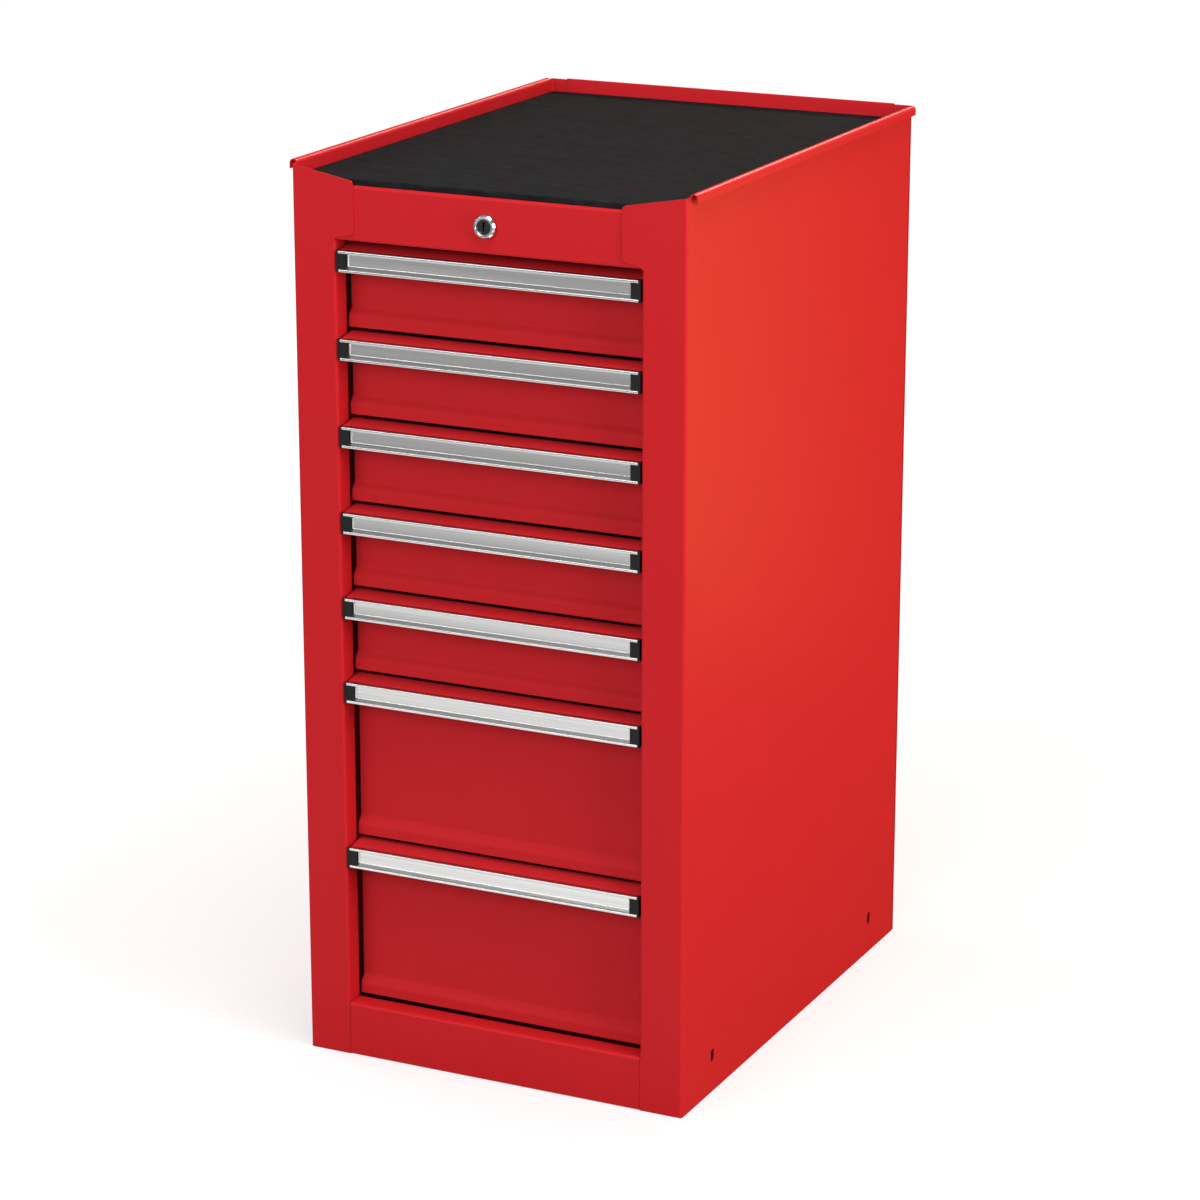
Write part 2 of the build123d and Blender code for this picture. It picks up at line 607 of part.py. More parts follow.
def build_lock():
    """Build the lock housing, its nut and the plug with the keyway."""
    face = RAIL_FRONT - BEZEL_PROUD
    barrel_end = RAIL_FRONT + BARREL_L
    with BuildPart() as housing:
        disc(BEZEL_R, (face, RAIL_FRONT), z=LOCK_Z)
        rim = housing.edges().filter_by(GeomType.CIRCLE).sort_by(Axis.Y)[0]
        chamfer(rim, length=BEZEL_PROUD / 2, length2=BEZEL_R - BEZEL_FACE_R)
        disc(BARREL_R, (RAIL_FRONT, barrel_end), z=LOCK_Z)
        disc(PLUG_R + PLUG_GAP, (face - OVERRUN, barrel_end + OVERRUN), z=LOCK_Z, mode=Mode.SUBTRACT)
    save(housing, "lock_housing")

    with BuildPart() as nut:
        with BuildSketch(front_plane(RAIL_FRONT + SHEET)):
            with Locations((0, LOCK_Z)):
                RegularPolygon(NUT_R, 6)
                Circle(BARREL_R + NUT_GAP, mode=Mode.SUBTRACT)
        extrude(amount=-NUT_H)
    save(nut, "lock_nut")

    plug_front = face + BEZEL_RECESS
    tail_front = barrel_end + PLUG_TAIL_GAP
    with BuildPart() as plug:
        disc(PLUG_R, (plug_front, tail_front), z=LOCK_Z)
        disc(PLUG_TAIL_R, (tail_front, tail_front + PLUG_TAIL_L), z=LOCK_Z)
        key_x = (-KEYWAY_W / 2, KEYWAY_W / 2)
        key_z = (LOCK_Z - KEYWAY_H / 2, LOCK_Z + KEYWAY_H / 2)
        block(key_x, (plug_front - OVERRUN, plug_front + KEYWAY_D), key_z, mode=Mode.SUBTRACT)
    save(plug, "lock_plug")


def build_tail_rod():
    """Build the rod from the lock to the back, with the crank that lifts the bar."""
    rod_front = RAIL_FRONT + BARREL_L + PLUG_TAIL_GAP + PLUG_TAIL_L
    crank_back = BAR_FRONT - BAR_CRANK_GAP
    with BuildPart() as rod:
        disc(ROD_R, (rod_front, crank_back), z=LOCK_Z)
        with BuildSketch(front_plane(crank_back)):
            with Locations((0, LOCK_Z)):
                Circle(CRANK_HUB_R)
            with Locations((PIN_X, PIN_Z)):
                Circle(CRANK_EYE_R)
            make_hull()
        extrude(amount=CRANK_T)
        disc(PIN_R, (crank_back - CRANK_T, BAR_BACK + PIN_PAST), x=PIN_X, z=PIN_Z)
    save(rod, "lock_tail_rod")

    plate_back = BACK - BRACKET_INSET
    plate_front = plate_back - BRACKET_T
    foot_z = TOP_Z - SHEET
    half = BRACKET_W / 2
    with BuildPart() as bracket:
        block((-half, half), (plate_front, plate_back), (LOCK_Z - BRACKET_BELOW, foot_z))
        block((-half, half), (plate_back - BRACKET_FOOT, plate_back), (foot_z - BRACKET_T, foot_z))
        disc(ROD_R + ROD_GAP, (plate_front - OVERRUN, plate_back + OVERRUN), z=LOCK_Z, mode=Mode.SUBTRACT)
    save(bracket, "lock_rod_bracket")


def build_lock_bar():
    """Build the lock bar with a finger for each drawer, and the guides that it slides in."""
    swing = CRANK_R - CRANK_R * cos(HALF_TURN)
    slot_l = swing + 2 * (PIN_R + PIN_GAP)
    slot_x = PIN_X - swing / 2
    head_half = -slot_x + slot_l / 2 + BAR_HEAD_MARGIN
    head_reach = PIN_R + PIN_GAP + BAR_HEAD_MARGIN
    catch_front = TRAY_BACK + CATCH_D - CATCH_T
    tip_y = (catch_front - LATCH_LASH - FINGER_T, catch_front - LATCH_LASH)
    finger_half = FINGER_W / 2
    tip_tops = [catch_height(index) - CATCH_T - BAR_LIFT - LATCH_GAP for index in range(len(CELL_PITCHES))]
    bar_low = tip_tops[-1] - BAR_LIFT - FINGER_T
    with BuildPart() as bar:
        block((-BAR_W / 2, BAR_W / 2), (BAR_FRONT, BAR_BACK), (bar_low, PIN_Z))
        block((-head_half, head_half), (BAR_FRONT, BAR_BACK), (PIN_Z - head_reach, PIN_Z + head_reach))
        with BuildSketch(front_plane(BAR_FRONT)):
            with Locations((slot_x, PIN_Z)):
                SlotOverall(slot_l, 2 * (PIN_R + PIN_GAP))
        extrude(amount=-BAR_T, mode=Mode.SUBTRACT)
        for tip_top in tip_tops:
            arm_top = tip_top - BAR_LIFT
            block((-finger_half, finger_half), (tip_y[0], BAR_FRONT), (arm_top - FINGER_T, arm_top))
            block((-finger_half, finger_half), tip_y, (arm_top, tip_top))
    save(bar, "lock_bar")

    slot_half = BAR_W / 2 + BAR_RUN_GAP
    guide_half = slot_half + GUIDE_WALL
    guide_front = BAR_FRONT - BAR_RUN_GAP - GUIDE_WALL
    with BuildPart() as guides:
        for cell_top in (CELL_TOPS[1], CELL_TOPS[-1]):
            guide_z = (cell_top - GUIDE_H / 2, cell_top + GUIDE_H / 2)
            block((-guide_half, guide_half), (guide_front, BACK - SHEET), guide_z)
            bar_space = (BAR_FRONT - BAR_RUN_GAP, BAR_BACK + BAR_RUN_GAP)
            block((-slot_half, slot_half), bar_space, guide_z, mode=Mode.SUBTRACT)
    save(guides, "lock_bar_guides")


def main():
    """Build every piece and write it to its own file."""
    os.makedirs("parts", exist_ok=True)
    build_side_panels()
    build_back_panel()
    build_top()
    build_base()
    build_rivets()
    build_posts()
    build_channels()
    build_lock()
    build_tail_rod()
    build_lock_bar()
    for index in range(len(CELL_PITCHES)):
        build_drawer_front(index)
        build_pull(index)
        build_tray(index)
        build_members(index)
        build_cages(index)


main()
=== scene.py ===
"""Looks of the tool chest side cabinet: new pieces, finishes, studio and camera around its frame."""

import json
import logging
import math
from dataclasses import dataclass
from enum import Enum
from typing import Any, Callable, Union

import bmesh
import bpy
from mathutils import Matrix, Vector


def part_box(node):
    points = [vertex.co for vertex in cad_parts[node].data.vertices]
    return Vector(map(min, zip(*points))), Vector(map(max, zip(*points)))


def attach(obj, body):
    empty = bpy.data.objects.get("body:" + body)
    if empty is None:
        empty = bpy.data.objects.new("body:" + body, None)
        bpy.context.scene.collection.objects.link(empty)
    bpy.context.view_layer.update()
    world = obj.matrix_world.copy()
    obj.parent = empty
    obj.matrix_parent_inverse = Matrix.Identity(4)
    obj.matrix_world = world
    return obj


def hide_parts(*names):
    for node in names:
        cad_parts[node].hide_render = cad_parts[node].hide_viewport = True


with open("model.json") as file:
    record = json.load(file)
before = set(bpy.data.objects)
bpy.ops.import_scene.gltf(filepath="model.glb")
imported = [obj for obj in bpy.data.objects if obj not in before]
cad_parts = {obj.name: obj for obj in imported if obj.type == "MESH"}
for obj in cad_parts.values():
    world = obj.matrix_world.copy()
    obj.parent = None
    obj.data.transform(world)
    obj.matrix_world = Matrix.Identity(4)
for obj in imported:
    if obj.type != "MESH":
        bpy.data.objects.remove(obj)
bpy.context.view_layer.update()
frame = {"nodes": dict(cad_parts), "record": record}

MM = 0.001  # in metres
DRAWERS = range(1, 8)  # numbers of the drawers, from the top down
HIT = 0.02 * MM  # how near a point counts as on a plane
MERGE = HIT / 10  # points nearer than this become one
REACH = 1.0  # in metres, past the edge of every piece
WHITE = (1, 1, 1, 1)
LOG = logging.getLogger("side_cabinet")

Triple = tuple[float, float, float]
Colour = tuple[float, float, float, float]
Value = Union["Socket", float, tuple]


class Pick(Enum):
    """What an edit selects."""

    VERTS = "VERT"
    EDGES = "EDGE"
    FACES = "FACE"


class Facing(Enum):
    """Directions that a face can point in."""

    FRONT = (0, -1, 0)
    BACK = (0, 1, 0)
    LEFT = (-1, 0, 0)


class Axis(Enum):
    """Axes that a cut can lie across."""

    X = 0
    Y = 1
    Z = 2


class Socket:
    """One shader value, so that shader maths can be written as an expression."""

    def __init__(self, desk: "NodeDesk", link: bpy.types.NodeSocket) -> None:
        """Keep the node tree and the output that holds the value."""
        self.desk = desk
        self.link = link

    def math(self, operation: str, first: Value, second: Value) -> "Socket":
        """Add a Math node and return its result."""
        return self.desk.node("ShaderNodeMath", {"operation": operation}, {0: first, 1: second})

    def __add__(self, other: Value) -> "Socket":
        """Return this value plus another."""
        return self.math("ADD", self, other)

    def __radd__(self, other: Value) -> "Socket":
        """Return a number plus this value."""
        return self.math("ADD", other, self)

    def __sub__(self, other: Value) -> "Socket":
        """Return this value less another."""
        return self.math("SUBTRACT", self, other)

    def __rsub__(self, other: Value) -> "Socket":
        """Return a number less this value."""
        return self.math("SUBTRACT", other, self)

    def __mul__(self, other: Value) -> "Socket":
        """Return this value times another."""
        return self.math("MULTIPLY", self, other)

    def __rmul__(self, other: Value) -> "Socket":
        """Return a number times this value."""
        return self.math("MULTIPLY", other, self)


class NodeDesk:
    """Adds nodes to one node tree."""

    def __init__(self, tree: bpy.types.NodeTree) -> None:
        """Empty the tree."""
        self.tree = tree
        tree.nodes.clear()

    def node(
        self, kind: str, settings: dict[str, Any], inputs: dict[Any, Any], output: Any = 0
    ) -> Socket | None:
        """Add one node.

        Args:
            kind: the node's type.
            settings: its properties, and stops for the stops of a colour ramp.
            inputs: a value or a socket for each input that is set.
            output: the name or number of the output that is returned.

        Returns:
            The chosen output, or None from a node that has no outputs.
        """
        made = self.tree.nodes.new(kind)
        for name, value in settings.items():
            if name == "stops":
                self.set_stops(made.color_ramp, value)
            else:
                setattr(made, name, value)
        for name, value in inputs.items():
            if isinstance(value, Socket):
                self.tree.links.new(value.link, made.inputs[name])
            else:
                made.inputs[name].default_value = value
        return Socket(self, made.outputs[output]) if len(made.outputs) else None

    def ray_kinds(self) -> tuple[Socket, Socket]:
        """Tell the kinds of ray apart.

        Returns:
            Whether a ray is from the camera, and whether it is mirrored or let through.
        """
        ray = "ShaderNodeLightPath"
        straight = self.node(ray, {}, {}, "Is Camera Ray")
        mirrored = self.node(ray, {}, {}, "Is Glossy Ray") + self.node(ray, {}, {}, "Is Transmission Ray")
        return straight, mirrored

    @staticmethod
    def set_stops(ramp: bpy.types.ColorRamp, stops: list[tuple[float, float]]) -> None:
        """Set a ramp's stops, each a position and a grey.

        Args:
            ramp: the ramp of a new node, which has two stops.
            stops: position and grey of each stop, in order.
        """
        while len(ramp.elements) < len(stops):
            ramp.elements.new(1.0)
        for element, (position, grey) in zip(ramp.elements, stops):
            element.position = position
            element.color = (grey, grey, grey, 1)


class Paint(NodeDesk):
    """Builds one material on its object's own coordinates."""

    edge_samples: int = 4
    mix_inputs: tuple[int, int, int] = (0, 6, 7)  # share, first and second colour of a Mix node
    mix_output: int = 2

    def __init__(self, name: str) -> None:
        """Start an empty material.

        Args:
            name: the material's name.
        """
        self.material = bpy.data.materials.new(name)
        self.material.use_nodes = True
        super().__init__(self.material.node_tree)
        self.place = self.node("ShaderNodeTexCoord", {}, {}, "Object")

    def noise(self, per_m: float | Triple, detail: float) -> Socket:
        """Add a soft random value between 0 and 1.

        Args:
            per_m: how many times it changes in a metre, as one number or one for each axis.
            detail: how many finer layers it has.

        Returns:
            The random value.
        """
        place, scale = self.place, per_m
        if isinstance(per_m, tuple):
            place = self.node("ShaderNodeMapping", {}, {"Vector": self.place, "Scale": per_m})
            scale = 1.0
        inputs = {"Vector": place, "Scale": scale, "Detail": detail}
        return self.node("ShaderNodeTexNoise", {}, inputs, "Fac")

    def blend(self, share: Value, first: Value, second: Value) -> Socket:
        """Return a colour between two colours."""
        inputs = dict(zip(self.mix_inputs, (share, first, second)))
        return self.node("ShaderNodeMix", {"data_type": "RGBA"}, inputs, self.mix_output)

    def bump(self, height: Socket, strength: float, depth: float, rounding: float = 0.0) -> Socket:
        """Raise the surface by a height.

        Args:
            height: the height map, from 0 to 1.
            strength: how strongly it shows.
            depth: its depth in metres.
            rounding: radius that sharp edges are rounded to, or 0.

        Returns:
            The normal.
        """
        inputs = {"Height": height, "Strength": strength, "Distance": depth}
        if rounding:
            settings = {"samples": self.edge_samples}
            inputs["Normal"] = self.node("ShaderNodeBevel", settings, {"Radius": rounding})
        return self.node("ShaderNodeBump", {}, inputs)

    def ramp_up(
        self, value: Socket, span: tuple[float, float], low: float = 0.0, high: float = 1.0
    ) -> Socket:
        """Ease from one level to another.

        Args:
            value: what the level depends on.
            span: the values at which it starts and stops to rise.
            low: the level before the span.
            high: the level past the span.

        Returns:
            The level.
        """
        settings = {"interpolation_type": "SMOOTHSTEP"}
        inputs = {"Value": value, "From Min": span[0], "From Max": span[1], "To Min": low, "To Max": high}
        return self.node("ShaderNodeMapRange", settings, inputs)

    def finish(self, inputs: dict[str, Any]) -> bpy.types.Material:
        """Close the material with its surface shader.

        Args:
            inputs: a value or a socket for each input of the shader that is set.

        Returns:
            The material.
        """
        shader = self.node("ShaderNodeBsdfPrincipled", {}, inputs)
        self.node("ShaderNodeOutputMaterial", {}, {"Surface": shader})
        return self.material


@dataclass(frozen=True)
class PowderCoat:
    """Baked red powder coat with a fine orange peel."""

    name: str = "red_powder_coat"
    colour: Colour = (0.590, 0.0155, 0.0210, 1)
    deeper: Colour = (0.560, 0.0140, 0.0190, 1)
    roughness: float = 0.30
    gloss: float = 0.10
    cloud_per_m: float = 9.0
    cloud_detail: float = 3.0
    cloud_haze: float = 0.08
    peel_per_m: float = 420.0
    peel_detail: float = 1.0
    peel_haze: float = 0.04
    peel_strength: float = 0.10
    peel_depth: float = 0.12 * MM
    edge_radius: float = 0.7 * MM

    def material(self) -> bpy.types.Material:
        """Build the finish of the painted sheets.

        Returns:
            The material.
        """
        paint = Paint(self.name)
        cloud = paint.noise(self.cloud_per_m, self.cloud_detail)
        peel = paint.noise(self.peel_per_m, self.peel_detail)
        return paint.finish({
            "Base Color": paint.blend(cloud, self.colour, self.deeper),
            "Roughness": self.roughness + self.cloud_haze * cloud + self.peel_haze * peel,
            "Specular IOR Level": self.gloss,
            "Normal": paint.bump(peel, self.peel_strength, self.peel_depth, self.edge_radius),
        })


@dataclass(frozen=True)
class MatRubber:
    """Charcoal foam rubber with a fine pebbled top."""

    name: str = "charcoal_mat"
    colour: Colour = (0.0060, 0.0060, 0.0067, 1)
    lighter: Colour = (0.0192, 0.0190, 0.0207, 1)
    roughness: float = 0.85
    gloss: float = 0.05
    pebbles_per_m: float = 620.0
    pebble_strength: float = 0.4
    pebble_depth: float = 0.30 * MM
    cloud_per_m: float = 14.0
    cloud_detail: float = 4.0
    cloud_share: float = 0.2
    grain_per_m: Triple = (75.0, 210.0, 210.0)
    grain_detail: float = 3.0
    grain_share: float = 1.4
    grain_haze: float = 0.1
    darkening: float = 0.3

    def material(self) -> bpy.types.Material:
        """Build the finish of the tray mat.

        Returns:
            The material.
        """
        paint = Paint(self.name)
        pebble = paint.node("ShaderNodeTexVoronoi", {"feature": "SMOOTH_F1"},
                            {"Vector": paint.place, "Scale": self.pebbles_per_m}, "Distance")
        cloud = paint.noise(self.cloud_per_m, self.cloud_detail)
        grain = paint.noise(self.grain_per_m, self.grain_detail)
        lightness = self.cloud_share * cloud + self.grain_share * grain - self.darkening
        return paint.finish({
            "Base Color": paint.blend(lightness, self.colour, self.lighter),
            "Roughness": self.roughness + self.grain_haze * grain,
            "Specular IOR Level": self.gloss,
            "Normal": paint.bump(pebble, self.pebble_strength, self.pebble_depth),
        })


@dataclass(frozen=True)
class BrushedAluminium:
    """Clear anodised aluminium, brushed along the pull."""

    name: str = "brushed_aluminium"
    colour: Colour = (0.75, 0.745, 0.74, 1)
    duller: Colour = (0.57, 0.565, 0.56, 1)
    roughness: float = 0.20
    detail: float = 2.0
    lines_per_m: Triple = (2.5, 900.0, 900.0)
    line_share: float = 0.8
    line_haze: float = 0.10
    line_strength: float = 0.02
    line_depth: float = 0.03 * MM
    bands_per_m: Triple = (2.0, 260.0, 260.0)
    band_share: float = 1.2
    brightening: float = 0.5

    def material(self) -> bpy.types.Material:
        """Build the finish of the drawer pulls.

        Returns:
            The material.
        """
        paint = Paint(self.name)
        lines = paint.noise(self.lines_per_m, self.detail)
        bands = paint.noise(self.bands_per_m, self.detail)
        dullness = self.line_share * lines + self.band_share * bands - self.brightening
        return paint.finish({
            "Base Color": paint.blend(dullness, self.colour, self.duller),
            "Metallic": 1.0,
            "Roughness": self.roughness + self.line_haze * lines,
            "Normal": paint.bump(lines, self.line_strength, self.line_depth),
        })


@dataclass(frozen=True)
class MouldedPlastic:
    """Black moulded plastic with a spark-eroded grain."""

    name: str = "black_plastic"
    colour: Colour = (0.0050, 0.0054, 0.0056, 1)
    lighter: Colour = (0.0095, 0.0100, 0.0102, 1)
    roughness: float = 0.42
    gloss: float = 0.22
    grain_per_m: float = 900.0
    grain_detail: float = 2.0
    grain_haze: float = 0.16
    grain_strength: float = 0.25
    grain_depth: float = 0.08 * MM

    def material(self) -> bpy.types.Material:
        """Build the finish of caps and guides.

        Returns:
            The material.
        """
        paint = Paint(self.name)
        grain = paint.noise(self.grain_per_m, self.grain_detail)
        return paint.finish({
            "Base Color": paint.blend(grain, self.colour, self.lighter),
            "Roughness": self.roughness + self.grain_haze * grain,
            "Specular IOR Level": self.gloss,
            "Normal": paint.bump(grain, self.grain_strength, self.grain_depth),
        })


@dataclass(frozen=True)
class ZincPlate:
    """Rolled steel with bright zinc plate."""

    name: str = "bright_zinc"
    colour: Colour = (0.60, 0.61, 0.63, 1)
    duller: Colour = (0.45, 0.455, 0.46, 1)
    roughness: float = 0.26
    detail: float = 3.0
    grain_per_m: Triple = (300.0, 12.0, 300.0)
    grain_share: float = 0.5
    grain_strength: float = 0.08
    grain_depth: float = 0.05 * MM
    cloud_per_m: float = 45.0
    cloud_share: float = 0.5
    cloud_haze: float = 0.20

    def material(self) -> bpy.types.Material:
        """Build the finish of the slides and the lock's works.

        Returns:
            The material.
        """
        paint = Paint(self.name)
        rolled = paint.noise(self.grain_per_m, self.detail)
        cloud = paint.noise(self.cloud_per_m, self.detail)
        dullness = self.grain_share * rolled + self.cloud_share * cloud
        return paint.finish({
            "Base Color": paint.blend(dullness, self.colour, self.duller),
            "Metallic": 1.0,
            "Roughness": self.roughness + self.cloud_haze * cloud,
            "Normal": paint.bump(rolled, self.grain_strength, self.grain_depth),
        })


@dataclass(frozen=True)
class PlatedLock:
    """Bright plate of the lock, either pale or blackened."""

    name: str
    colour: Colour
    duller: Colour
    roughness: float
    smudges_per_m: float = 240.0
    smudge_detail: float = 4.0
    smudge_haze: float = 0.10
    smudge_strength: float = 0.03
    smudge_depth: float = 0.04 * MM

    def material(self) -> bpy.types.Material:
        """Build the finish of the bezel or of the plug.

        Returns:
            The material.
        """
        paint = Paint(self.name)
        smudge = paint.noise(self.smudges_per_m, self.smudge_detail)
        return paint.finish({
            "Base Color": paint.blend(smudge, self.colour, self.duller),
            "Metallic": 1.0,
            "Roughness": self.roughness + self.smudge_haze * smudge,
            "Normal": paint.bump(smudge, self.smudge_strength, self.smudge_depth),
        })


@dataclass(frozen=True)
class PaleFloor:
    """Studio floor that keeps the shadow, looks white to the camera and lies graded in the metal."""

    name: str = "studio_floor"
    colour: Colour = (0.38, 0.38, 0.38, 1)
    front_foot: Triple = (0.0, -0.245, 0.0)
    near_lift: float = 0.57
    far_lift: float = 0.89
    lift_span: tuple[float, float] = (0.5, 3.2)
    # painted reflection: metres from the front's foot, and how bright the floor glows there in the metal,
    # though it is no lamp
    mirrored_ahead: tuple = ((1.2, 1.2), (1.45, 1.15), (1.7, 1.10), (1.95, 0.56), (2.15, 0.18), (2.5, 0.34))
    # warm orange glow of the floor behind the front, seen only in reflections: a painted orange sheen on
    # the side panel
    mirrored_behind: Colour = (0.12, 0.06, 0.01, 1)
    behind_span: tuple[float, float] = (-0.42, -0.24)

    def mirrored_colour(self, paint: Paint, away: Socket, brightest: float) -> Socket:
        """Grade the colour that the floor has in the metal.

        Args:
            paint: the floor's material.
            away: distance from the front's foot.
            brightest: the level that counts as 1.

        Returns:
            The colour.
        """
        reach = self.mirrored_ahead[-1][0]
        stops = [(metres / reach, level / brightest) for metres, level in self.mirrored_ahead]
        ahead = paint.node("ShaderNodeValToRGB", {"stops": stops}, {"Fac": away * (1 / reach)})
        depth = paint.node("ShaderNodeSeparateXYZ", {}, {"Vector": paint.place}, "Y")
        return paint.blend(paint.ramp_up(depth, self.behind_span), ahead, self.mirrored_behind)

    def material(self) -> bpy.types.Material:
        """Build the finish of the floor.

        Returns:
            The material.
        """
        paint = Paint(self.name)
        straight, mirrored = paint.ray_kinds()
        away = paint.node("ShaderNodeVectorMath", {"operation": "DISTANCE"},
                          {0: paint.place, 1: self.front_foot}, "Value")
        brightest = self.mirrored_ahead[0][1]
        graded = self.mirrored_colour(paint, away, brightest)
        lift = paint.ramp_up(away, self.lift_span, self.near_lift, self.far_lift)
        pale = paint.node("ShaderNodeBsdfDiffuse", {}, {"Color": self.colour})
        white = paint.node("ShaderNodeEmission", {}, {"Color": lift, "Strength": 1.0})
        lifted = paint.node("ShaderNodeAddShader", {}, {0: pale, 1: white})
        sheen = paint.node("ShaderNodeEmission", {}, {"Color": graded, "Strength": brightest})
        shown = paint.node("ShaderNodeMixShader", {}, {0: straight, 1: pale, 2: lifted})
        surface = paint.node("ShaderNodeMixShader", {}, {0: mirrored, 1: shown, 2: sheen})
        paint.node("ShaderNodeOutputMaterial", {}, {"Surface": surface})
        return paint.material


def near(first: float, second: float) -> bool:
    """Return whether two places along an axis are the same."""
    return abs(first - second) < HIT


def plane_at(y: float) -> tuple[Vector, Vector]:
    """Return the corners of an upright plane at one depth, wider than any piece."""
    return Vector((-REACH, y, -REACH)), Vector((REACH, y, REACH))


class Bench:
    """Adds one primitive and shapes it with the modelling operators."""

    facing_limit: float = 0.9

    def __init__(self, name: str) -> None:
        """Name the piece that is made here."""
        self.name = name
        self.piece: bpy.types.Object | None = None

    @staticmethod
    def clear() -> None:
        """Leave edit mode and deselect everything."""
        if bpy.context.mode != "OBJECT":
            bpy.ops.object.mode_set(mode="OBJECT")
        bpy.ops.object.select_all(action="DESELECT")

    def block(self, low: Vector, high: Vector) -> None:
        """Start from a block.

        Args:
            low: its lowest corner.
            high: its highest corner.
        """
        self.clear()
        bpy.ops.mesh.primitive_cube_add(size=1, location=(low + high) / 2, scale=high - low)
        self.start()

    def drum(self, radius: float, y_span: tuple[float, float], z: float, sides: int) -> None:
        """Start from a drum that lies along Y.

        Args:
            radius: its radius.
            y_span: where its front and its back lie.
            z: height of its axis.
            sides: number of its sides.
        """
        self.clear()
        middle = (0, sum(y_span) / 2, z)
        bpy.ops.mesh.primitive_cylinder_add(vertices=sides, radius=radius, depth=y_span[1] - y_span[0],
                                            location=middle, rotation=(math.pi / 2, 0, 0))
        self.start()

    def start(self) -> None:
        """Put the new primitive's place in its mesh and open it for editing."""
        bpy.ops.object.transform_apply(location=True, rotation=True, scale=True)
        self.piece = bpy.context.object
        self.piece.name = self.name
        self.piece.data.name = self.name
        bpy.ops.object.mode_set(mode="EDIT")

    def pick(self, kind: Pick, test: Callable[[Any], bool]) -> int:
        """Select the parts of the mesh that pass a test.

        Args:
            kind: whether points, edges or faces are selected.
            test: takes one of them and says whether it is.

        Returns:
            How many were selected.
        """
        bpy.ops.mesh.select_mode(type=kind.value)
        bpy.ops.mesh.select_all(action="DESELECT")
        mesh = bmesh.from_edit_mesh(self.piece.data)
        parts = {Pick.VERTS: mesh.verts, Pick.EDGES: mesh.edges, Pick.FACES: mesh.faces}[kind]
        chosen = [part for part in parts if test(part)]
        for part in chosen:
            part.select_set(True)
        mesh.select_flush_mode()
        bmesh.update_edit_mesh(self.piece.data)
        return len(chosen)

    def faces(self, facing: Facing, low: Vector, high: Vector) -> int:
        """Select the faces that point one way and have their middles in a box.

        Args:
            facing: the way that they point.
            low: lowest corner of the box.
            high: highest corner of the box.

        Returns:
            How many were selected.
        """
        way = Vector(facing.value)

        def inside(face: bmesh.types.BMFace) -> bool:
            """Tell the faces that are meant from the others.

            Args:
                face: any face of the piece.

            Returns:
                Whether it points that way and lies in the box.
            """
            middle = face.calc_center_median()
            within = all(low[k] - HIT <= middle[k] <= high[k] + HIT for k in range(3))
            return within and face.normal.dot(way) > self.facing_limit

        return self.pick(Pick.FACES, inside)

    def cut(self, axis: Axis, places: list[float]) -> None:
        """Divide the mesh across an axis.

        Args:
            axis: the axis that the cuts lie across.
            places: where they lie on it.
        """
        normal = [0.0, 0.0, 0.0]
        normal[axis.value] = 1.0
        for place in places:
            point = [0.0, 0.0, 0.0]
            point[axis.value] = place
            bpy.ops.mesh.select_all(action="SELECT")
            bpy.ops.mesh.bisect(plane_co=point, plane_no=normal)

    @staticmethod
    def push(move: Triple) -> None:
        """Extrude the selected faces."""
        bpy.ops.mesh.extrude_region_move(TRANSFORM_OT_translate={"value": move})

    @staticmethod
    def shift(move: Triple) -> None:
        """Move what is selected."""
        bpy.ops.transform.translate(value=move)

    @staticmethod
    def widen(share: float, middle: Triple) -> None:
        """Scale what is selected around an axis that lies along Y."""
        bpy.ops.transform.resize(value=(share, 1, share), center_override=middle)

    @staticmethod
    def round_edges(radius: float, steps: int) -> None:
        """Round the selected edges."""
        bpy.ops.mesh.bevel(offset=radius, segments=steps, affect="EDGES")

    def hold(self) -> None:
        """Leave edit mode with this piece alone selected, as the active one."""
        self.clear()
        self.piece.select_set(True)
        bpy.context.view_layer.objects.active = self.piece

    def close(self, material: bpy.types.Material, smooth_deg: float = 35.0) -> bpy.types.Object:
        """Leave edit mode with sound normals, smooth shading and a finish.

        Args:
            material: the finish.
            smooth_deg: edges sharper than this stay sharp.

        Returns:
            The finished object.
        """
        bpy.ops.mesh.select_all(action="SELECT")
        bpy.ops.mesh.remove_doubles(threshold=MERGE)
        bpy.ops.mesh.normals_make_consistent(inside=False)
        self.hold()
        self.piece.data.materials.clear()
        self.piece.data.materials.append(material)
        bpy.ops.object.shade_smooth_by_angle(angle=math.radians(smooth_deg))
        return self.piece

    def soften(self, width: float, steps: int, angle_deg: float = 30.0) -> None:
        """Round the finished piece's sharp edges with an applied bevel.

        Args:
            width: how far the rounding reaches.
            steps: steps of the rounding.
            angle_deg: edges sharper than this are rounded.
        """
        rounding = self.piece.modifiers.new("rounding", "BEVEL")
        rounding.width = width
        rounding.segments = steps
        rounding.limit_method = "ANGLE"
        rounding.angle_limit = math.radians(angle_deg)
        rounding.use_clamp_overlap = True
        bpy.ops.object.modifier_apply(modifier=rounding.name)


def place(piece: bpy.types.Object, body: str, slot: str, nodes: list[str]) -> None:
    """Fix a new piece to its body and let it stand for solids of the frame.

    Args:
        piece: the finished piece.
        body: the body that it moves with.
        slot: the material slot that its finish belongs to; not used.
        nodes: the solids that it replaces.
    """
    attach(piece, body)
    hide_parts(*nodes)
    LOG.info("%s rides on %s, %d faces", piece.name, body, len(piece.data.polygons))


def twin(piece: bpy.types.Object, name: str, move: Vector) -> bpy.types.Object:
    """Copy a piece with its own mesh, moved within it.

    Args:
        piece: the piece that is copied.
        name: the copy's name.
        move: from the piece to its copy.

    Returns:
        The copy.
    """
    copy = piece.copy()
    copy.data = piece.data.copy()
    copy.name = name
    copy.data.name = name
    copy.data.transform(Matrix.Translation(move))
    bpy.context.scene.collection.objects.link(copy)
    return copy


